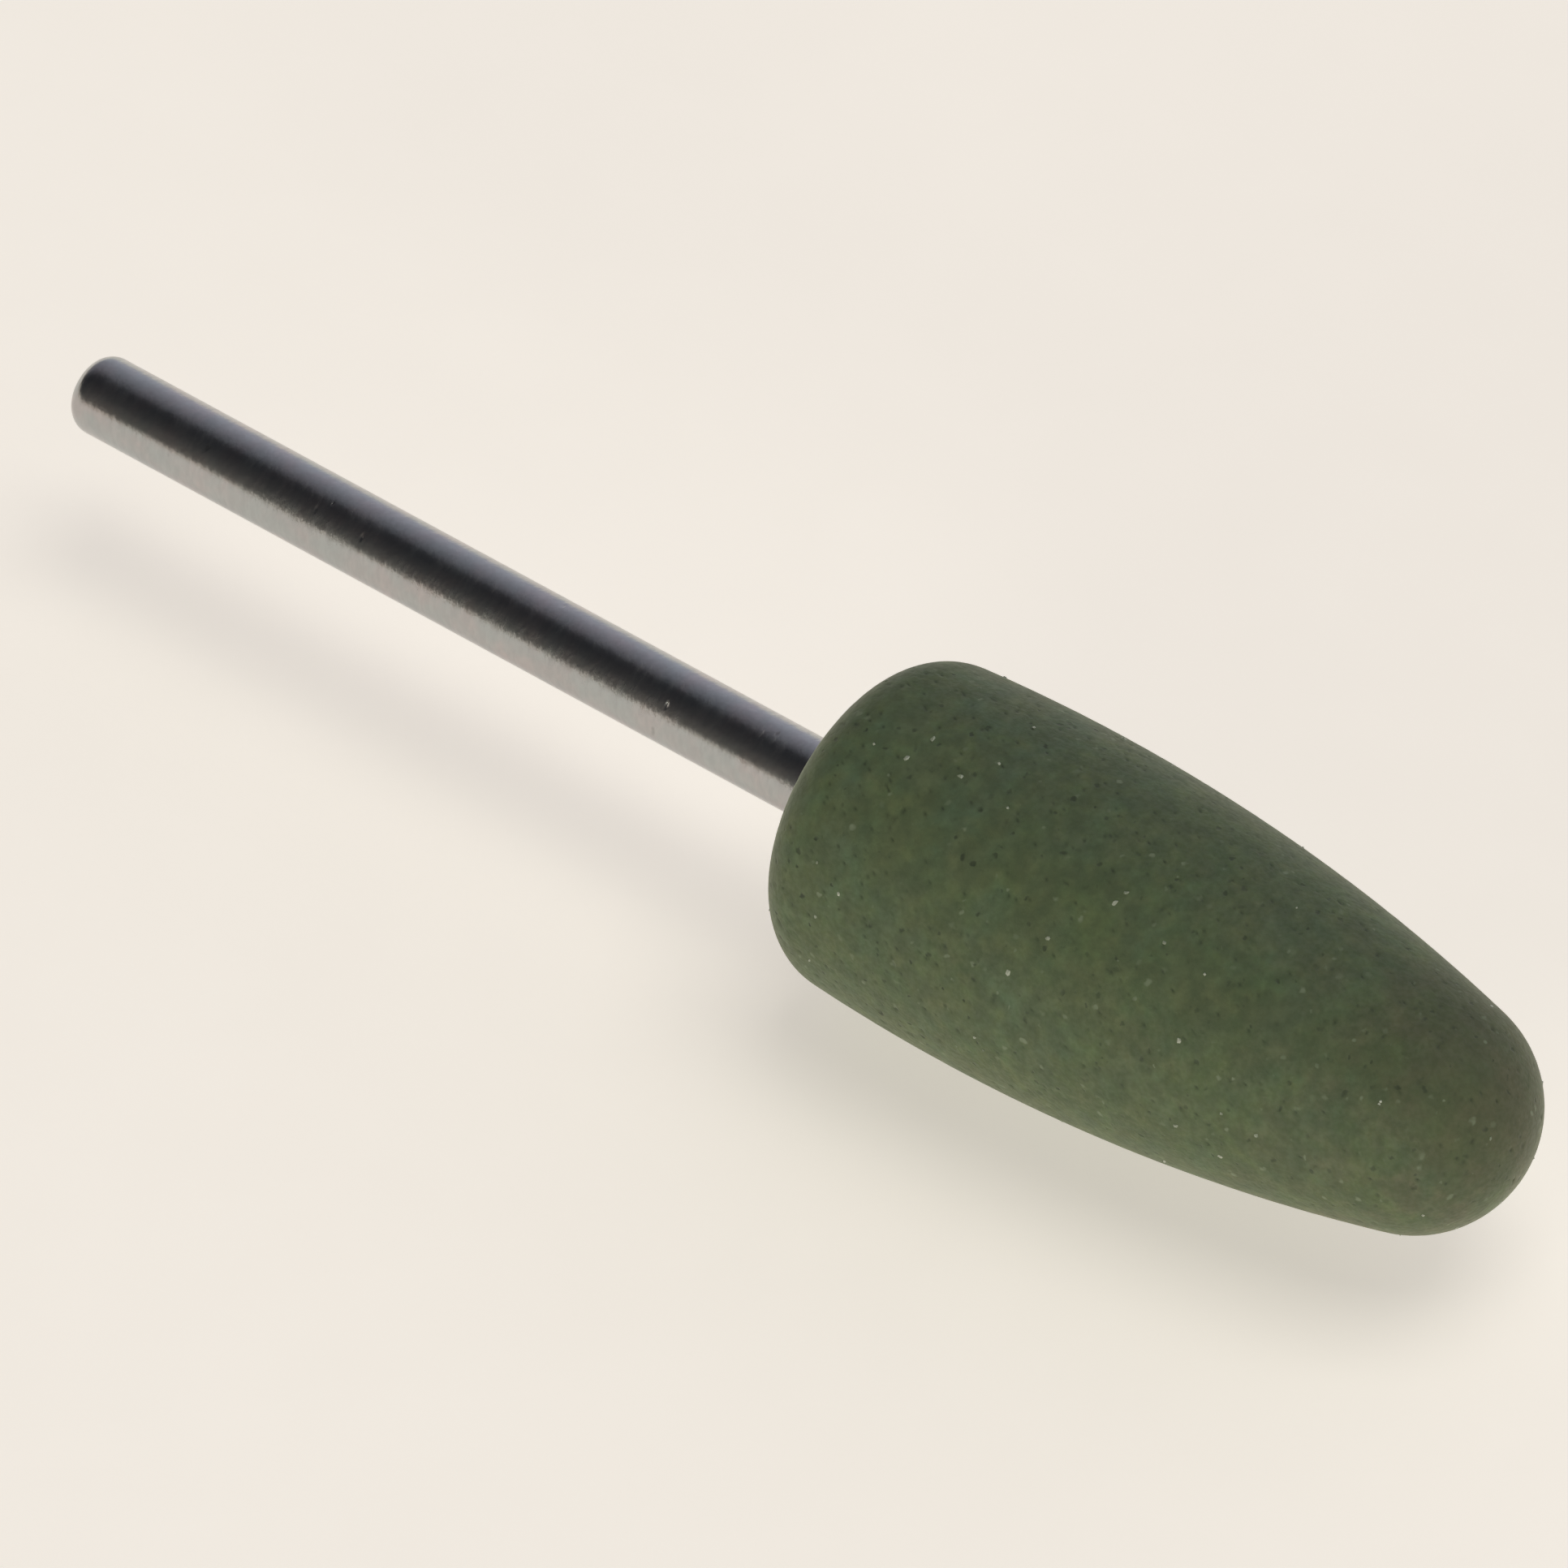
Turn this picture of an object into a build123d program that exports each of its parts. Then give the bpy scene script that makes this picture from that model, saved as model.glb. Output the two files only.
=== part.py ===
"""Bullet-shaped dental polisher on a straight-handpiece mandrel.

It has two pieces: a ground steel mandrel with a ribbed tail, and a rubber head filled
with abrasive grain, moulded and bonded round that tail. Units are millimetres.

X is the axis of rotation. The origin is on it, in the plane of the head's back face:
the head points along +X, and the bare shank runs along -X. A handpiece holds the tool by
that shank: laid on a table it rolls.
"""

from build123d import *

import os
from math import atan2, degrees, sqrt

# Mandrel
mandrel_length = 44.5
shank_diameter = 2.35  # fits a straight handpiece
shank_end_radius = 0.65  # rounded rim of the free end

# Tail of the mandrel, inside the head
tail_diameter = 2.0  # thinner than the shank, whose shoulder the head butts against
tail_end_chamfer = 0.4
plain_stretch = 1.2  # at least this much of the tail has no groove, at each end
groove_pitch = 4.0
groove_width = 1.0
groove_depth = 0.2

# Head
head_diameter = 10.4
head_length = 23.5  # back face to tip
solid_tip_length = 6.5  # rubber between the end of the tail and the tip
back_edge_radius = 2.0
widest_from_back = 6.4  # the side bulges, and is widest here
tip_radius = 3.6

shank_radius = shank_diameter / 2
tail_radius = tail_diameter / 2
tail_length = head_length - solid_tip_length
bare_length = mandrel_length - tail_length
grooved_length = tail_length - 2 * plain_stretch - groove_width
groove_count = 1 + int(grooved_length / groove_pitch)

# The side is one arc. It starts at the back face, is parallel to the axis where it is
# widest, and runs into the domed tip without a corner.
head_radius = head_diameter / 2
tip_centre = head_length - tip_radius
dome_run = tip_centre - widest_from_back
radius_drop = head_radius - tip_radius
side_radius = (dome_run**2 + head_radius**2 - tip_radius**2) / (2 * radius_drop)
side_centre_depth = side_radius - head_radius  # how far past the axis the arc's centre lies
dome_angle = degrees(atan2(side_centre_depth, dome_run))
back_corner_height = sqrt(side_radius**2 - widest_from_back**2) - side_centre_depth

# Profiles are drawn with their x along the axis and their y away from it
profile_plane = Plane.XZ
turning_axis = Axis.X

os.makedirs("parts", exist_ok=True)

# Mandrel: one turned bar with a rounded free end and a thinner tail with ring grooves
with BuildPart() as mandrel:
    with BuildSketch(profile_plane) as mandrel_profile:
        with Locations((-bare_length, 0)):
            Rectangle(bare_length, shank_radius, align=Align.MIN)
        Rectangle(tail_length, tail_radius, align=Align.MIN)
        corners_along_axis = mandrel_profile.vertices().group_by(Axis.X)
        free_end_corner = corners_along_axis[0].sort_by(Axis.Y)[-1]
        tail_end_corner = corners_along_axis[-1].sort_by(Axis.Y)[-1]
        chamfer(tail_end_corner, tail_end_chamfer)
        fillet(free_end_corner, shank_end_radius)
        with Locations((plain_stretch, tail_radius - groove_depth)):
            with GridLocations(groove_pitch, 0, groove_count, 1, align=Align.MIN):
                Rectangle(groove_width, 2 * groove_depth, align=Align.MIN, mode=Mode.SUBTRACT)
    revolve(axis=turning_axis)

# Head: a turned bullet, and its bore is the tail's own shape, because the rubber is
# moulded round it and fills the grooves
with BuildPart() as polishing_head:
    with BuildSketch(profile_plane) as head_profile:
        with BuildLine():
            dome = CenterArc((tip_centre, 0), tip_radius, 0, dome_angle)
            side = ThreePointArc(
                dome @ 1, (widest_from_back, head_radius), (0, back_corner_height)
            )
            Polyline(side @ 1, (0, 0), dome @ 0)
        make_face()
        back_face_line = head_profile.edges().sort_by(Axis.X)[0]
        back_corner = back_face_line.vertices().sort_by(Axis.Y)[-1]
        fillet(back_corner, back_edge_radius)
    revolve(axis=turning_axis)
    add(mandrel.part, mode=Mode.SUBTRACT)

mandrel.part.label = "mandrel"
export_step(mandrel.part, "parts/mandrel.step")

polishing_head.part.label = "polishing_head"
export_step(polishing_head.part, "parts/polishing_head.step")
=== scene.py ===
"""Looks of a bullet-shaped dental polisher: a ground steel mandrel and a rubber head
filled with abrasive grain, which carries small pits and a few bare crystals.

The axis of rotation is X. The origin is on it, in the plane of the head's back face.
"""

import math
import random

import bmesh
import bpy
from mathutils import Euler, Matrix, Vector, kdtree, noise


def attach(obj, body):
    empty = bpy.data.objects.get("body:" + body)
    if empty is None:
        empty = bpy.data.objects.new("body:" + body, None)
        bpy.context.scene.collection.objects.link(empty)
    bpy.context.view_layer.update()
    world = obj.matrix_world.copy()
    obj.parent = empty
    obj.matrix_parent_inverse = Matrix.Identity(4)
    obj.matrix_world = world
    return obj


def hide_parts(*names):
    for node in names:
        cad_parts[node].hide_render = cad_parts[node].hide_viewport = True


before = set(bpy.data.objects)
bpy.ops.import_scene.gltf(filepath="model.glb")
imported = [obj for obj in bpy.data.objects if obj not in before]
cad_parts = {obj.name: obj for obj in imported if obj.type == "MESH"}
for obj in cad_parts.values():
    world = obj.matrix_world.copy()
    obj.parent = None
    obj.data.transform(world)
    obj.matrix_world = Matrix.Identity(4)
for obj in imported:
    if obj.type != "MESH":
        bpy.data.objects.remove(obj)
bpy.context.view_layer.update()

MM = 0.001

# Sizes in millimetres, as the source of the solids has them
MANDREL_LENGTH = 44.5
SHANK_RADIUS = 1.175
SHANK_END_RADIUS = 0.65
TAIL_LENGTH = 17.0
TAIL_RADIUS = 1.0
TAIL_END_CHAMFER = 0.4
PLAIN_STRETCH = 1.2  # of the tail, from its root to its first groove
GROOVE_PITCH = 4.0
GROOVE_COUNT = 4
GROOVE_WIDTH = 1.0
GROOVE_DEPTH = 0.2
HEAD_LENGTH = 23.5
HEAD_RADIUS = 5.2
BACK_EDGE_RADIUS = 2.0
WIDEST_FROM_BACK = 6.4
TIP_RADIUS = 3.6

# Skin of the head, in millimetres
SKIN_INSET = 0.03  # the rubber lies this far inside the full size, which the crystals reach
SWELL_LENGTH = 0.55
SWELL_DEPTH = 0.006
GRAIN_LENGTH = 0.2
GRAIN_DEPTH = 0.004
CLEAR_OF_BORE = 0.5  # this far past the bore's end, points near the axis are skin

# Lip of rubber drawn a little way up the shank, in millimetres
LIP_HEIGHT = 0.09
LIP_WIDTH = 0.5
LIP_FOOT_GAP = 0.005  # from the shank, in the plane of the back face
LIP_EDGE_GAP = 0.02  # from the shank, at the lip's thin edge

# Painted shade on top of the tip, which makes it darker and browner: its middle, and how far
# from there it begins and is full, in millimetres
PAINTED_TIP_SHADE_PLACE = Vector((22.0, 0.5, 2.4))
PAINTED_TIP_SHADE_WIDTH = (4.8, 1.4)

# Pits and crystals of the head, with sizes in millimetres
PIT_COUNT = 1700
PIT_RADIUS = (0.06, 0.12)
PIT_DEPTH = (0.01, 0.035)
PITS_LOST_AT_TIP = 0.75
CRYSTAL_COUNT = 85
CRYSTAL_RADIUS = (0.07, 0.17)
CRYSTAL_BREADTH = (0.5, 0.8)  # as a share of its length
CRYSTAL_THICKNESS = (0.5, 0.75)
SEED = 23

# Steps of the meshes along their outlines and round the axis
TAIL_END_STEPS = 2
SHANK_STEPS = 40
SHANK_END_STEPS = 14
FREE_END_STEPS = 4
SHANK_SEGMENTS = 128
LIP_STEPS = 6
BACK_FACE_STEP = 0.11  # in millimetres
BACK_EDGE_STEPS = 25
SIDE_STEPS = 152
DOME_STEPS = 40
HEAD_SEGMENTS = 360
SAME_PLACE = 1e-8  # points nearer than this, in metres, are merged

# Small dents of the shank: place along X in millimetres, degrees up from the front, and
# depth in thousandths of a millimetre
DENTS = ((-5.9, 44, 34), (-16.9, 47, 24), (-18.6, 51, 20), (-19.8, 11, 12), (-10.5, 104, 12))
DENT_HALF_WIDTH = 0.085
STROKE_SHARE = 0.45  # strokes and dents are this much as wide, along X, as they are long
RING_SHARE = 0.03  # and rings this much

# A strip along the shank that is scuffed more: degrees up from the front, how far from
# its middle it begins and is full, and where along X it begins and is full, in millimetres
SCUFFED_STRIP = 29
SCUFFED_WIDTH = (0.55, 0.15)
SCUFFED_ALONG = (-23.0, -18.0)

# What the clean shank and the scuffed strip have, with relief in thousandths of a millimetre
STROKE_HEIGHT = (4.0, 7.0)
MARK_DEPTH = (5.0, 8.0)
STEEL_ROUGHNESS = (0.19, 0.215)
SMEAR_ROUGHNESS = (0.05, 0.085)

# Colours of the rubber
GREEN = (0.110, 0.167, 0.073)
OLIVE = (0.137, 0.167, 0.071)
BLUE_GREEN = (0.094, 0.160, 0.104)
MOSS = (0.130, 0.174, 0.056)
BROWN = (0.148, 0.143, 0.080)
SHADE = (0.058, 0.082, 0.039)
# painted shade for the top of the tip, darker and browner than the rubber
PAINTED_TIP_SHADE = (0.086, 0.088, 0.042)
SAND_SHADE = (0.048, 0.067, 0.032)
SPECK = (0.21, 0.25, 0.16)
# painted shade for the small pores
PORE_SHADE = (0.030, 0.042, 0.020)
# painted shade for the pits, darker where they are deeper
PIT_SHADE = (0.018, 0.025, 0.012)
RUBBER_SHEEN = (1.0, 1.0, 0.78, 1)

# Colours of the crystals
CLEAR_CRYSTAL = (0.16, 0.20, 0.12)
CLOUDED_CRYSTAL = (0.56, 0.57, 0.48)

# Colours of the steel
STEEL = (0.480, 0.476, 0.470)
STEEL_FILM = (0.415, 0.411, 0.408)
STEEL_WARM = (0.50, 0.458, 0.452)
STEEL_COOL = (0.432, 0.464, 0.458)
STEEL_STROKE = (0.36, 0.357, 0.36)
STEEL_MARK = (0.20, 0.19, 0.18)

# Floor
FLOOR_PALE = (0.83, 0.775, 0.71)
FLOOR_TONE = (0.82, 0.765, 0.70)
FLOOR_GLOW = 0.605
FLOOR_REACH = 3.0  # in metres, to each side

# Brightness of the room's walls, by place from the front, 0, to behind the tool, 1
WALLS = (
    (0.00, 0.15), (0.13, 0.088), (0.20, 0.054), (0.39, 0.030), (0.50, 0.037),
    (0.613, 0.14), (0.725, 0.25), (0.835, 0.37), (0.92, 0.52), (1.0, 0.62),
)
WALL_TINT = Vector((0.97, 0.975, 1.13))
FRONT_TINT = Vector((0.5, 0.2, -0.7))  # added by how far a wall lies within the warm front
WARM_FRONT = 0.35
SKIRTING_IN_FRONT = (0.75, 0.68, 0.58)
SKIRTING_BEHIND = (0.68, 0.68, 0.70)
SKIRTING_HEIGHT = (0.03, 0.18)  # it is full up to the first and gone above the second
SKIRTING_CHANGE = (0.6, 0.9)  # places, as above, between which its colour changes


# Turned outlines


def start_outline(along, out):
    """A new outline in the plane of X and Z, and its first point."""
    outline = bmesh.new()
    return outline, outline.verts.new((along * MM, 0, out * MM))


def newest_point(made):
    return [part for part in made["geom_last"] if isinstance(part, bmesh.types.BMVert)][0]


def line_on(outline, end, along, out, steps=1):
    """Carries the outline straight on to a point, in equal steps."""
    step = (Vector((along * MM, 0, out * MM)) - end.co) / steps
    made = bmesh.ops.spin(
        outline, geom=[end], cent=(0, 0, 0), axis=(0, 1, 0), dvec=step, angle=0, steps=steps
    )
    return newest_point(made)


def arc_on(outline, end, centre_along, centre_out, degrees, steps):
    """Carries the outline on round a centre: positive from the back over the top."""
    made = bmesh.ops.spin(
        outline,
        geom=[end],
        cent=(centre_along * MM, 0, centre_out * MM),
        axis=(0, 1, 0),
        angle=math.radians(degrees),
        steps=steps,
    )
    return newest_point(made)


def turn(outline, segments):
    """Turns the outline into a closed shell round X."""
    bmesh.ops.spin(
        outline,
        geom=outline.verts[:] + outline.edges[:],
        cent=(0, 0, 0),
        axis=(1, 0, 0),
        angle=math.tau,
        steps=segments,
        use_merge=True,
    )
    bmesh.ops.remove_doubles(outline, verts=outline.verts[:], dist=SAME_PLACE)
    bmesh.ops.recalc_face_normals(outline, faces=outline.faces[:])
    outline.normal_update()


def tail_outline_on(outline, end):
    """Carries an outline along the ribbed tail from its end on the axis to its root."""
    end = line_on(outline, end, TAIL_LENGTH, TAIL_RADIUS - TAIL_END_CHAMFER, TAIL_END_STEPS)
    end = line_on(outline, end, TAIL_LENGTH - TAIL_END_CHAMFER, TAIL_RADIUS)
    for groove in reversed(range(GROOVE_COUNT)):
        groove_start = PLAIN_STRETCH + groove * GROOVE_PITCH
        groove_end = groove_start + GROOVE_WIDTH
        end = line_on(outline, end, groove_end, TAIL_RADIUS)
        end = line_on(outline, end, groove_end, TAIL_RADIUS - GROOVE_DEPTH)
        end = line_on(outline, end, groove_start, TAIL_RADIUS - GROOVE_DEPTH)
        end = line_on(outline, end, groove_start, TAIL_RADIUS)
    return line_on(outline, end, 0, TAIL_RADIUS)


def finished_piece(name, shape, material, smooth=True):
    """Makes the shape a piece that rides on the tool's one body."""
    mesh = bpy.data.meshes.new(name)
    for face in shape.faces:
        face.smooth = smooth
    shape.to_mesh(mesh)
    shape.free()
    mesh.materials.append(material)
    piece = bpy.data.objects.new(name, mesh)
    bpy.context.scene.collection.objects.link(piece)
    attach(piece, "root")
    return piece


# Mandrel


def mandrel_shape():
    """The ribbed tail, the shank and its rounded free end, as one closed shell."""
    free_end = TAIL_LENGTH - MANDREL_LENGTH
    rim_centre = free_end + SHANK_END_RADIUS
    rim_centre_out = SHANK_RADIUS - SHANK_END_RADIUS
    shape, end = start_outline(TAIL_LENGTH, 0)
    end = tail_outline_on(shape, end)
    end = line_on(shape, end, 0, SHANK_RADIUS)
    end = line_on(shape, end, rim_centre, SHANK_RADIUS, SHANK_STEPS)
    end = arc_on(shape, end, rim_centre, rim_centre_out, -90, SHANK_END_STEPS)
    line_on(shape, end, free_end, 0, FREE_END_STEPS)
    turn(shape, SHANK_SEGMENTS)
    return shape


# Head


def head_shape():
    """The bullet, with its bore, as one closed shell."""
    radius_drop = HEAD_RADIUS - TIP_RADIUS
    tip_centre = HEAD_LENGTH - TIP_RADIUS
    dome_run = tip_centre - WIDEST_FROM_BACK
    side_radius = (dome_run**2 + HEAD_RADIUS**2 - TIP_RADIUS**2) / (2 * radius_drop)
    side_centre_out = HEAD_RADIUS - side_radius
    edge_centre_reach = side_radius - BACK_EDGE_RADIUS
    edge_lean = math.asin((WIDEST_FROM_BACK - BACK_EDGE_RADIUS) / edge_centre_reach)
    edge_centre_out = side_centre_out + edge_centre_reach * math.cos(edge_lean)
    dome_lean = math.atan2(dome_run, -side_centre_out)
    behind_lean = math.degrees(edge_lean)
    ahead_lean = math.degrees(dome_lean)

    shape, end = start_outline(TAIL_LENGTH, 0)
    end = tail_outline_on(shape, end)
    end = line_on(shape, end, 0, SHANK_RADIUS + LIP_FOOT_GAP)
    end = line_on(shape, end, -LIP_HEIGHT, SHANK_RADIUS + LIP_EDGE_GAP)
    for step in range(1, LIP_STEPS + 1):
        share = step / LIP_STEPS
        height = LIP_HEIGHT * (1 - share) ** 2
        along = SKIN_INSET - height - SKIN_INSET * (1 - share)
        out = SHANK_RADIUS + LIP_EDGE_GAP + (LIP_WIDTH - LIP_EDGE_GAP) * share
        end = line_on(shape, end, along, out)
    lip_outer = SHANK_RADIUS + LIP_WIDTH
    back_face_steps = round((edge_centre_out - lip_outer) / BACK_FACE_STEP)
    end = line_on(shape, end, SKIN_INSET, edge_centre_out, back_face_steps)
    end = arc_on(
        shape, end, BACK_EDGE_RADIUS, edge_centre_out, 90 - behind_lean, BACK_EDGE_STEPS
    )
    end = arc_on(
        shape, end, WIDEST_FROM_BACK, side_centre_out, behind_lean + ahead_lean, SIDE_STEPS
    )
    arc_on(shape, end, tip_centre, 0, 90 - ahead_lean, DOME_STEPS)
    turn(shape, HEAD_SEGMENTS)
    return shape


def skin_points(shape):
    """The points of the head's outside, without its bore and its lip."""
    lip_outer = (SHANK_RADIUS + LIP_WIDTH) * MM
    past_bore = (TAIL_LENGTH + CLEAR_OF_BORE) * MM
    return [
        point
        for point in shape.verts
        if math.hypot(point.co.y, point.co.z) > lip_outer or point.co.x > past_bore
    ]


def scattered(points, count, dice, keep):
    """Places chosen evenly over the skin, thinned by keep(place)."""
    chosen = []
    while len(chosen) < count:
        point = dice.choice(points)
        out = math.hypot(point.co.y, point.co.z) / (HEAD_RADIUS * MM)
        if dice.random() < out * keep(point.co):
            chosen.append((point.co.copy(), point.normal.copy()))
    return chosen


def more_at_back(place):
    """Pits are more frequent near the back of the head than at its tip."""
    return 1 - PITS_LOST_AT_TIP * max(0.0, place.x / (HEAD_LENGTH * MM))


def anywhere(place):
    return 1


def wandering(place, length):
    """A share from 0 to 1 that wanders over the skin, in waves of about that length."""
    return 0.5 + 0.5 * noise.noise(place / length)


def roughen(shape, dice):
    """Gives the skin a soft swell, a fine grain and its pits, all of them inwards, and keeps
    how much painted shade each point of a pit gets, more where the pit is deeper.
    """
    painted_pit_shade = shape.verts.layers.float.new("painted_pit_shade")
    points = skin_points(shape)
    pits = scattered(points, PIT_COUNT, dice, more_at_back)
    tree = kdtree.KDTree(len(points))
    for number, point in enumerate(points):
        tree.insert(point.co, number)
    tree.balance()
    sunk = [0.0] * len(points)
    pit_shade_amounts = [0.0] * len(points)
    for place, _ in pits:
        radius = dice.uniform(*PIT_RADIUS) * MM
        depth = dice.uniform(*PIT_DEPTH) * MM
        for _, number, distance in tree.find_range(place, radius):
            share = 1 - (distance / radius) ** 2
            sunk[number] = max(sunk[number], depth * share)
            # painted shade in the pits: darker where the pit is deeper
            pit_shade_amounts[number] = max(pit_shade_amounts[number], share * depth / (PIT_DEPTH[1] * MM))
    for number, point in enumerate(points):
        place = point.co / MM
        swell = SWELL_DEPTH * wandering(place, SWELL_LENGTH)
        grain = GRAIN_DEPTH * wandering(place, GRAIN_LENGTH)
        point.co -= point.normal * (sunk[number] + (swell + grain) * MM)
        point[painted_pit_shade] = pit_shade_amounts[number]


def crystals_shape(places, dice):
    """Faceted crystals, each sunk in the skin until its top is at the head's full size."""
    shape = bmesh.new()
    for place, outwards in places:
        radius = dice.uniform(*CRYSTAL_RADIUS) * MM
        lean = Euler([dice.uniform(0, math.tau) for _ in range(3)]).to_matrix().to_4x4()
        breadth = dice.uniform(*CRYSTAL_BREADTH)
        thickness = dice.uniform(*CRYSTAL_THICKNESS)
        stretch = Matrix.Diagonal((1, breadth, thickness, 1))
        crystal = bmesh.ops.create_icosphere(
            shape, subdivisions=1, radius=radius, matrix=lean @ stretch
        )["verts"]
        top = max(point.co.dot(outwards) for point in crystal)
        middle = place + outwards * (SKIN_INSET * MM - top)
        bmesh.ops.translate(shape, vec=middle, verts=crystal)
    return shape


# Nodes


def new_material(name):
    material = bpy.data.materials.new(name)
    material.use_nodes = True
    material.node_tree.nodes.clear()
    return material, material.node_tree


def put(tree, socket, value):
    """Links a socket to another one, or sets it to a plain value."""
    if isinstance(value, bpy.types.NodeSocket):
        tree.links.new(value, socket)
    else:
        socket.default_value = value


def add(tree, kind, settings=None, **sockets):
    """A node of that kind, with its settings, and its sockets set or linked by name."""
    made = tree.nodes.new("ShaderNode" + kind)
    for name, value in (settings or {}).items():
        setattr(made, name, value)
    for name, value in sockets.items():
        put(tree, made.inputs[name.replace("_", " ")], value)
    return made


def calculate(tree, operation, first, second):
    made = add(tree, "Math", {"operation": operation})
    put(tree, made.inputs[0], first)
    put(tree, made.inputs[1], second)
    return made.outputs[0]


def calculate_vector(tree, operation, first, second):
    """The node itself, because a distance leaves it by another socket than a vector."""
    made = add(tree, "VectorMath", {"operation": operation})
    put(tree, made.inputs[0], first)
    put(tree, made.inputs[1], second)
    return made


def distance_to(tree, place, middle):
    return calculate_vector(tree, "DISTANCE", place, middle).outputs["Value"]


def stretched(tree, place, scale):
    return add(tree, "Mapping", Vector=place, Scale=scale).outputs[0]


def mixed(tree, mask, colour, other, most=1.0):
    """A colour that turns into another where the mask is, by the given share at most."""
    # For colours, a Mix node has its inputs at 0, 6 and 7 and its output at 2
    made = add(tree, "Mix", {"data_type": "RGBA"})
    put(tree, made.inputs[0], mask if most == 1.0 else calculate(tree, "MULTIPLY", mask, most))
    put(tree, made.inputs[6], (*colour, 1) if isinstance(colour, tuple) else colour)
    put(tree, made.inputs[7], (*other, 1) if isinstance(other, tuple) else other)
    return made.outputs[2]


def spread(tree, value, low, high, to_low=0.0, to_high=1.0):
    """A value stretched from one range to another, with soft ends."""
    made = add(
        tree, "MapRange", {"interpolation_type": "SMOOTHSTEP"},
        Value=value, From_Min=low, From_Max=high, To_Min=to_low, To_Max=to_high,
    )
    return made.outputs["Result"]


def new_group(name, inputs, outputs):
    """A node group and its two ends, with float sockets unless they are named Vector."""
    group = bpy.data.node_groups.new(name, "ShaderNodeTree")
    for names, direction in ((inputs, "INPUT"), (outputs, "OUTPUT")):
        for socket in names:
            kind = "NodeSocketVector" if socket == "Vector" else "NodeSocketFloat"
            group.interface.new_socket(name=socket, in_out=direction, socket_type=kind)
    given = group.nodes.new("NodeGroupInput").outputs
    result = group.nodes.new("NodeGroupOutput").inputs
    return group, given, result


def use(tree, group, **sockets):
    """The mask of a node group, with the group's sockets set or linked by name."""
    made = tree.nodes.new("ShaderNodeGroup")
    made.node_tree = group
    for name, value in sockets.items():
        put(tree, made.inputs[name], value)
    return made.outputs["Mask"]


def finish_material(tree, shader):
    put(tree, add(tree, "OutputMaterial").inputs["Surface"], shader.outputs[0])


# Effects that the materials share. Scale is how many of a pattern go into a metre


def patches_group():
    """Soft patches: a mask from 0 to 1 that wanders over the surface."""
    group, given, result = new_group("soft_patches", ["Vector", "Scale", "Contrast"], ["Mask"])
    wander = add(group, "TexNoise", Vector=given["Vector"], Scale=given["Scale"], Detail=3.0)
    reach = calculate(group, "DIVIDE", 0.25, given["Contrast"])
    low = calculate(group, "SUBTRACT", 0.5, reach)
    high = calculate(group, "ADD", 0.5, reach)
    put(group, result["Mask"], spread(group, wander.outputs[0], low, high))
    return group


def spots_group():
    """Sparse spots: uneven marks in a chosen share of the cells of a scattered lattice."""
    group, given, result = new_group(
        "sparse_spots", ["Vector", "Scale", "Share", "Size"], ["Mask"]
    )
    twice = calculate(group, "MULTIPLY", given["Scale"], 2.0)
    wobble = add(group, "TexNoise", Vector=given["Vector"], Scale=twice, Detail=1.0)
    off_centre = calculate_vector(group, "SUBTRACT", wobble.outputs["Color"], (0.5, 0.5, 0.5))
    half_cell = calculate(group, "DIVIDE", 0.5, given["Scale"])
    shift = add(
        group, "VectorMath", {"operation": "SCALE"},
        Vector=off_centre.outputs[0], Scale=half_cell,
    )
    moved = calculate_vector(group, "ADD", given["Vector"], shift.outputs[0])

    cells = add(group, "TexVoronoi", Vector=moved.outputs[0], Scale=given["Scale"])
    parts = add(group, "SeparateColor", Color=cells.outputs["Color"])
    chance, growth, strength = parts.outputs
    picked = calculate(group, "LESS_THAN", chance, given["Share"])
    growth = spread(group, growth, 0, 1, to_low=0.5)
    size = calculate(group, "MULTIPLY", given["Size"], growth)
    core = calculate(group, "MULTIPLY", size, 0.35)
    mark = spread(group, cells.outputs["Distance"], size, core)
    mark = calculate(group, "MULTIPLY", mark, spread(group, strength, 0, 1, to_low=0.3))
    put(group, result["Mask"], calculate(group, "MULTIPLY", mark, picked))
    return group


# Materials


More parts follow.
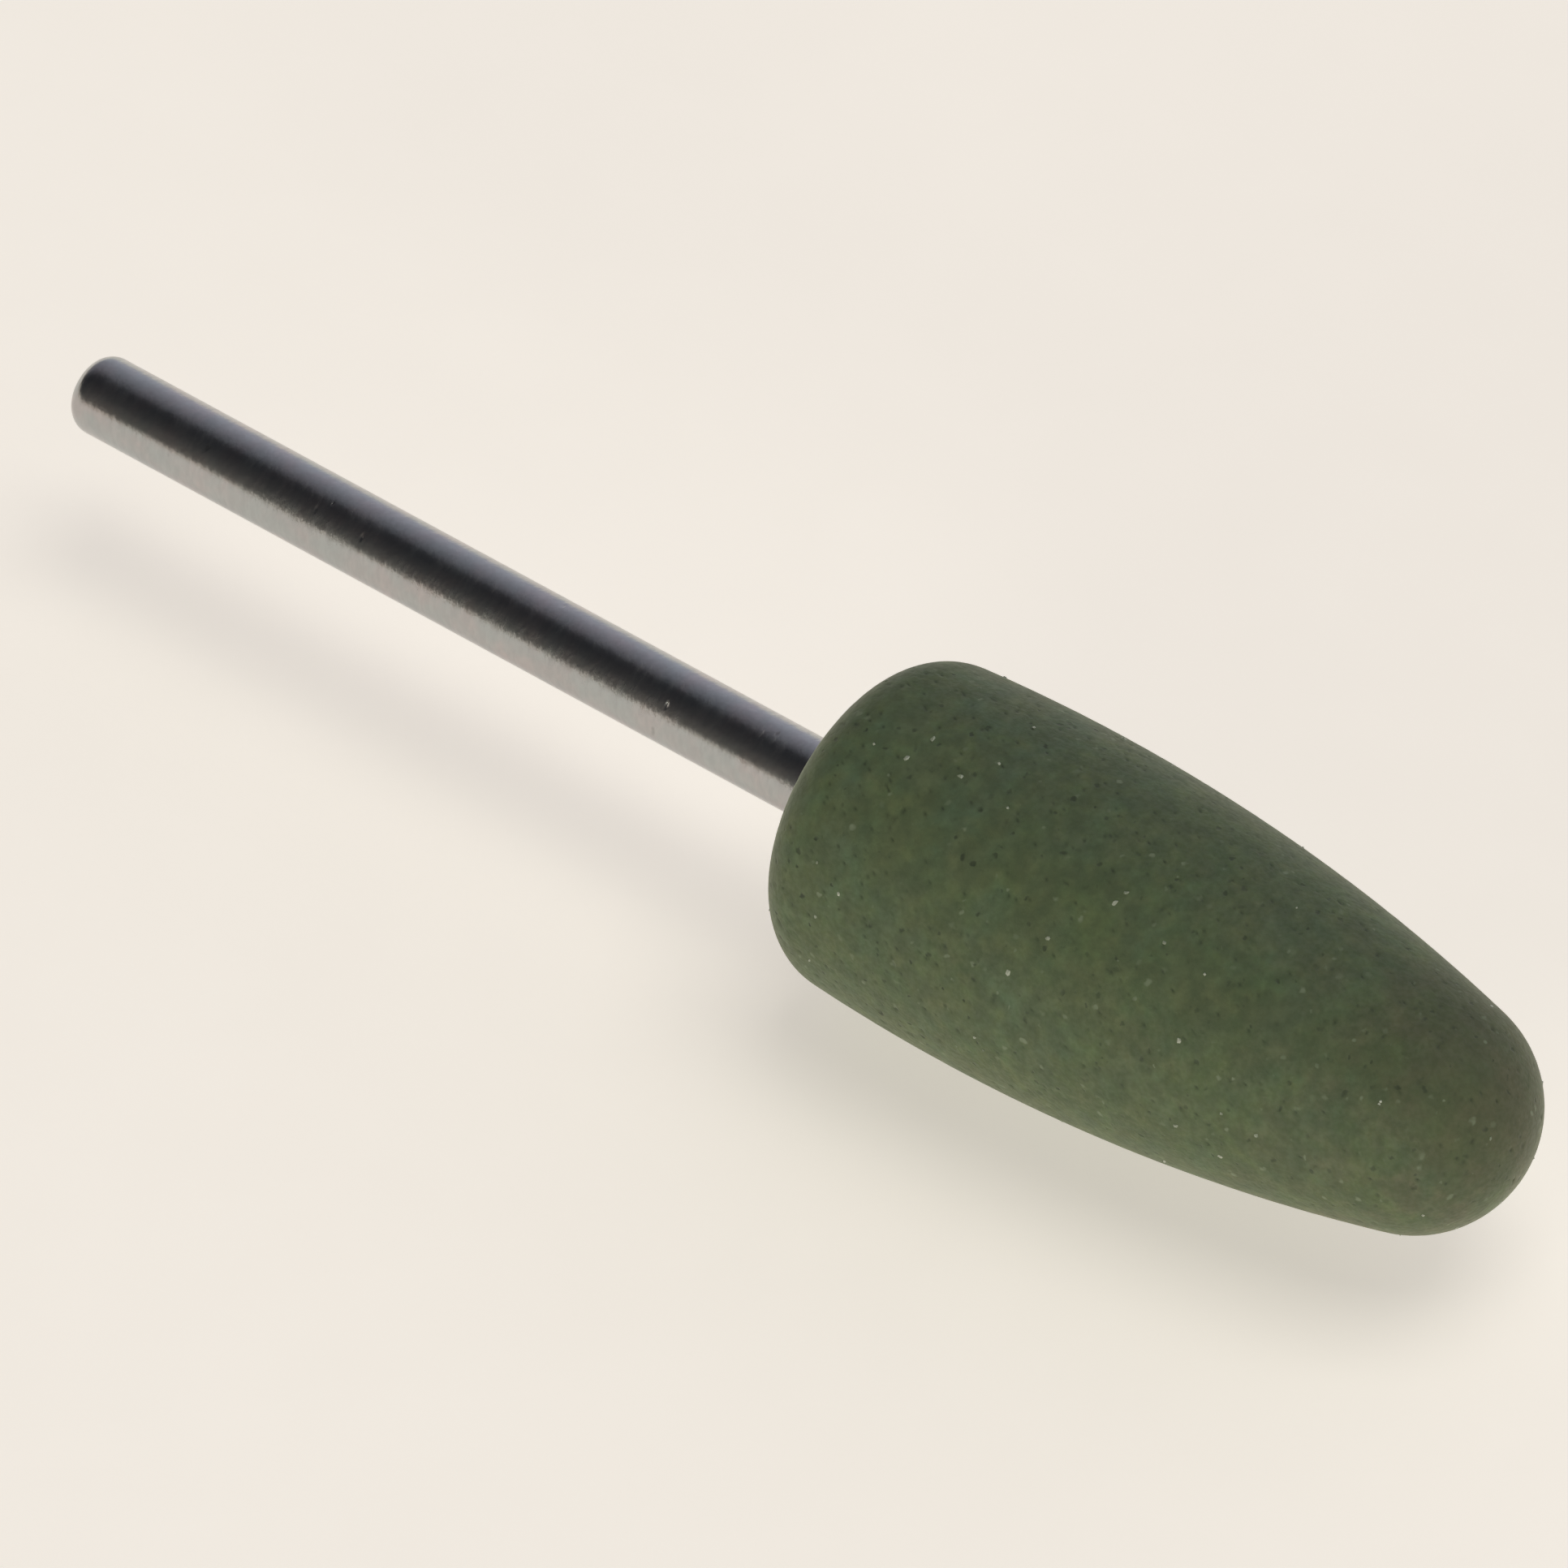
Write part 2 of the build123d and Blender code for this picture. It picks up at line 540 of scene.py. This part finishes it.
def rubber_material(patches, spots):
    """Matte green rubber: mottled, pored, and specked with dull grain, with painted shade
    in its pores and pits and on top of its tip.
    """
    material, tree = new_material("green_abrasive_rubber")
    place = add(tree, "TexCoord").outputs["Object"]
    along = add(tree, "SeparateXYZ", Vector=place).outputs["X"]

    def patchy(colour, other, scale, contrast, most):
        mask = use(tree, patches, Vector=place, Scale=scale, Contrast=contrast)
        return mixed(tree, mask, colour, other, most)

    mottled_at_back = spread(tree, along, 0, 12 * MM, to_low=0.85, to_high=0.50)
    browner_at_tip = spread(tree, along, 14 * MM, 23 * MM, to_low=0.35, to_high=1.0)
    colour = patchy(GREEN, OLIVE, scale=2200, contrast=1.0, most=1.0)
    colour = patchy(colour, BLUE_GREEN, scale=900, contrast=1.2, most=mottled_at_back)
    colour = patchy(colour, MOSS, scale=420, contrast=1.3, most=0.50)
    colour = patchy(colour, BROWN, scale=800, contrast=1.3, most=browner_at_tip)
    colour = patchy(colour, SHADE, scale=1350, contrast=1.2, most=0.44)
    colour = patchy(colour, SHADE, scale=2300, contrast=1.1, most=0.56)

    # Painted shade: the top of the tip is made darker and browner
    off_tip_shade = distance_to(tree, place, PAINTED_TIP_SHADE_PLACE * MM)
    begins, full = PAINTED_TIP_SHADE_WIDTH
    tip_shade = spread(tree, off_tip_shade, begins * MM, full * MM)
    colour = mixed(tree, tip_shade, colour, PAINTED_TIP_SHADE, most=0.50)

    sand = use(tree, patches, Vector=place, Scale=6500, Contrast=1.1)
    colour = mixed(tree, sand, colour, SAND_SHADE, most=0.15)
    specks = use(tree, spots, Vector=place, Scale=2000, Share=0.55, Size=0.28)
    colour = mixed(tree, specks, colour, SPECK, most=0.75)
    # Painted shade in the small pores, which the bump also sinks, paler towards the tip
    pores = use(tree, spots, Vector=place, Scale=2500, Share=0.70, Size=0.31)
    paler_at_tip = spread(tree, along, 0, 18 * MM, to_low=0.95, to_high=0.65)
    colour = mixed(tree, pores, colour, PORE_SHADE, most=paler_at_tip)
    # Painted shade in the pits, darker where they are deeper
    pits = add(tree, "Attribute", {"attribute_name": "painted_pit_shade"}).outputs["Fac"]
    deep_pit_shade = calculate(tree, "POWER", pits, 1.6)
    colour = mixed(tree, deep_pit_shade, colour, PIT_SHADE, most=0.8)

    height = calculate(tree, "SUBTRACT", calculate(tree, "MULTIPLY", sand, 0.5), pores)
    relief = add(tree, "Bump", Height=height, Distance=0.012 * MM, Strength=0.8)
    shader = add(
        tree, "BsdfPrincipled",
        Base_Color=colour,
        Roughness=spread(tree, sand, 0, 1, to_low=0.62, to_high=0.78),
        Normal=relief.outputs[0],
        Specular_IOR_Level=0.45,
        Sheen_Weight=0.27,
        Sheen_Roughness=0.40,
        Sheen_Tint=RUBBER_SHEEN,
    )
    finish_material(tree, shader)
    return material


def crystal_material(patches):
    """Pale crystals of abrasive, some clearer and some more clouded."""
    material, tree = new_material("pale_abrasive_crystal")
    place = add(tree, "TexCoord").outputs["Object"]
    cloud = use(tree, patches, Vector=place, Scale=900, Contrast=1.2)
    shader = add(
        tree, "BsdfPrincipled",
        Base_Color=mixed(tree, cloud, CLEAR_CRYSTAL, CLOUDED_CRYSTAL),
        Roughness=spread(tree, cloud, 0, 1, to_low=0.15, to_high=0.35),
    )
    finish_material(tree, shader)
    return material


def on_shank(along, raised):
    """A place on the shank's surface, raised by some degrees from the front."""
    turned = math.radians(raised)
    out = SHANK_RADIUS * MM
    return Vector((along * MM, -math.cos(turned) * out, math.sin(turned) * out))


def scuffing(tree, patches, place):
    """How scuffed the shank is: in clusters on one strip, and not near its free end."""
    across_place = stretched(tree, place, Vector((0, 1, 1)))
    off_strip = distance_to(tree, across_place, on_shank(0, SCUFFED_STRIP))
    begins, full = SCUFFED_WIDTH
    strip = spread(tree, off_strip, begins * MM, full * MM)
    clusters = use(tree, patches, Vector=place, Scale=330, Contrast=1.2)
    clusters = spread(tree, clusters, 0, 0.7)
    along = add(tree, "SeparateXYZ", Vector=place).outputs["X"]
    begins, full = SCUFFED_ALONG
    off_end = spread(tree, along, begins * MM, full * MM)
    clustered = calculate(tree, "MULTIPLY", strip, clusters)
    return calculate(tree, "MULTIPLY", clustered, off_end)


def steel_material(patches, spots):
    """Ground steel: fine rings from the grinding, small marks and a few stains."""
    material, tree = new_material("ground_steel")
    place = add(tree, "TexCoord").outputs["Object"]
    rings_place = stretched(tree, place, Vector((1, RING_SHARE, RING_SHARE)))
    rings = use(tree, patches, Vector=rings_place, Scale=9000, Contrast=1.0)
    stroke_scale = Vector((1, STROKE_SHARE, STROKE_SHARE))
    strokes_place = stretched(tree, place, stroke_scale)
    strokes = use(tree, patches, Vector=strokes_place, Scale=6800, Contrast=1.0)
    smears = use(tree, patches, Vector=strokes_place, Scale=2400, Contrast=1.1)
    marks = use(tree, spots, Vector=strokes_place, Scale=1900, Share=0.4, Size=0.17)
    film = use(tree, patches, Vector=place, Scale=240, Contrast=1.2)
    warm = use(tree, patches, Vector=place, Scale=1500, Contrast=1.2)
    cool = use(tree, patches, Vector=place, Scale=1150, Contrast=1.2)

    colour = mixed(tree, film, STEEL, STEEL_FILM, most=0.8)
    colour = mixed(tree, warm, colour, STEEL_WARM, most=0.85)
    colour = mixed(tree, cool, colour, STEEL_COOL, most=0.80)
    colour = mixed(tree, strokes, colour, STEEL_STROKE, most=0.34)
    colour = mixed(tree, marks, colour, STEEL_MARK, most=0.35)

    scuffed = scuffing(tree, patches, place)

    def where_scuffed(clean_and_scuffed):
        return spread(tree, scuffed, 0, 1, *clean_and_scuffed)

    raised_strokes = calculate(tree, "MULTIPLY", strokes, where_scuffed(STROKE_HEIGHT))
    sunk_marks = calculate(tree, "MULTIPLY", marks, where_scuffed(MARK_DEPTH))
    height = calculate(tree, "ADD", rings, raised_strokes)
    height = calculate(tree, "SUBTRACT", height, sunk_marks)
    for along, raised, depth in DENTS:
        off_dent = distance_to(tree, strokes_place, on_shank(along, raised) * stroke_scale)
        dent = spread(tree, off_dent, DENT_HALF_WIDTH * MM, 0, to_high=depth)
        height = calculate(tree, "SUBTRACT", height, dent)
    relief = add(tree, "Bump", Height=height, Distance=0.001 * MM, Strength=1.0)

    smeared = spread(tree, calculate(tree, "MULTIPLY", smears, strokes), 0, 0.6)
    smeared = calculate(tree, "MULTIPLY", smeared, where_scuffed(SMEAR_ROUGHNESS))
    shader = add(
        tree, "BsdfPrincipled",
        Base_Color=colour,
        Metallic=1.0,
        Roughness=calculate(tree, "ADD", smeared, where_scuffed(STEEL_ROUGHNESS)),
        Normal=relief.outputs[0],
    )
    finish_material(tree, shader)
    return material


def floor_material(patches):
    """A pale sheet lit a little from below, as on a light table."""
    material, tree = new_material("pale_floor")
    place = add(tree, "TexCoord").outputs["Object"]
    tone = use(tree, patches, Vector=place, Scale=300, Contrast=0.6)
    colour = mixed(tree, tone, FLOOR_TONE, FLOOR_PALE)
    shader = add(
        tree, "BsdfPrincipled",
        Base_Color=colour,
        Roughness=0.9,
        Emission_Color=colour,
        Emission_Strength=FLOOR_GLOW,
    )
    finish_material(tree, shader)
    return material


# Studio, with its own sizes in metres


def lay_floor(patches):
    """The floor, which touches the underside of the level head."""
    shape = bmesh.new()
    bmesh.ops.create_grid(shape, x_segments=1, y_segments=1, size=FLOOR_REACH)
    bmesh.ops.translate(shape, vec=(0, 0, -HEAD_RADIUS * MM), verts=shape.verts[:])
    mesh = bpy.data.meshes.new("floor")
    shape.to_mesh(mesh)
    shape.free()
    mesh.materials.append(floor_material(patches))
    floor = bpy.data.objects.new("floor", mesh)
    bpy.context.scene.collection.objects.link(floor)


def hang_lamp(name, towards, distance, size, level, colour):
    """A square soft lamp that gives a surface facing it that share of the plain level."""
    lamp = bpy.data.lights.new(name, "AREA")
    lamp.shape = "SQUARE"
    lamp.size = size
    lamp.color = colour
    lamp.energy = level * (math.pi * distance) ** 2
    holder = bpy.data.objects.new(name, lamp)
    direction = Vector(towards).normalized()
    holder.location = direction * distance
    holder.rotation_euler = direction.to_track_quat("Z", "Y").to_euler()
    holder.visible_camera = False
    bpy.context.scene.collection.objects.link(holder)


def light_room():
    """A dim room, darkest above and in front of the tool, brighter behind it and pale
    low down."""
    world = bpy.data.worlds.new("room")
    bpy.context.scene.world = world
    world.use_nodes = True
    tree = world.node_tree
    tree.nodes.clear()
    direction = add(tree, "TexCoord").outputs["Generated"]
    axes = add(tree, "SeparateXYZ", Vector=direction)
    depth = add(tree, "MapRange", Value=axes.outputs["Y"], From_Min=-1, From_Max=1).outputs[0]
    walls = tree.nodes.new("ShaderNodeValToRGB")
    put(tree, walls.inputs[0], depth)
    while len(walls.color_ramp.elements) < len(WALLS):
        walls.color_ramp.elements.new(0.5)
    for element, (position, level) in zip(walls.color_ramp.elements, WALLS):
        within_front = max(0.0, WARM_FRONT - position)
        tint = WALL_TINT + FRONT_TINT * within_front
        element.position = position
        element.color = (*(tint * level), 1)
    full, gone = SKIRTING_HEIGHT
    low_down = spread(tree, axes.outputs["Z"], gone, full)
    behind = spread(tree, depth, *SKIRTING_CHANGE)
    skirting = mixed(tree, behind, SKIRTING_IN_FRONT, SKIRTING_BEHIND)
    seen = mixed(tree, low_down, walls.outputs[0], skirting)
    background = add(tree, "Background", Color=seen, Strength=1.0)
    put(tree, add(tree, "OutputWorld").inputs["Surface"], background.outputs[0])


def set_camera(azimuth, elevation, distance, lens, aside, above):
    """A camera that looks at the origin from an azimuth and elevation, then is moved in
    its own picture plane, aside to its right and above along its up."""
    turned = math.radians(azimuth)
    raised = math.radians(elevation)
    back = Vector((
        math.sin(turned) * math.cos(raised),
        -math.cos(turned) * math.cos(raised),
        math.sin(raised),
    ))
    right = Vector((math.cos(turned), math.sin(turned), 0))
    up = back.cross(right)
    data = bpy.data.cameras.new("camera")
    data.lens = lens
    data.sensor_width = 36
    data.clip_start = 0.01
    data.clip_end = 10
    camera = bpy.data.objects.new("camera", data)
    pose = Matrix((right, up, back)).transposed().to_4x4()
    pose.translation = back * distance + right * aside + up * above
    camera.matrix_world = pose
    bpy.context.scene.collection.objects.link(camera)
    bpy.context.scene.camera = camera


# Making

dice = random.Random(SEED)
patches = patches_group()
spots = spots_group()
steel = steel_material(patches, spots)
rubber = rubber_material(patches, spots)
crystal = crystal_material(patches)

mandrel = finished_piece("mandrel_steel", mandrel_shape(), steel)
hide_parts("mandrel")

bullet = head_shape()
crystal_places = scattered(skin_points(bullet), CRYSTAL_COUNT, dice, anywhere)
roughen(bullet, dice)
head = finished_piece("head_rubber", bullet, rubber)
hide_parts("polishing_head")

crystals = crystals_shape(crystal_places, dice)
finished_piece("head_crystals", crystals, crystal, smooth=False)

lay_floor(patches)
light_room()
hang_lamp(
    "front_lamp", towards=(0.33, -0.94, 0.06), distance=0.7, size=0.3, level=0.47,
    colour=(0.97, 1.0, 0.89),
)
hang_lamp(
    "top_lamp", towards=(0.22, 0.14, 0.96), distance=0.8, size=0.6, level=0.33,
    colour=(0.99, 1.0, 0.92),
)
set_camera(
    azimuth=38.716, elevation=42.613, distance=1.0, lens=825.6, aside=-0.001864, above=0.000457
)

scene = bpy.context.scene
scene.view_settings.view_transform = "Standard"
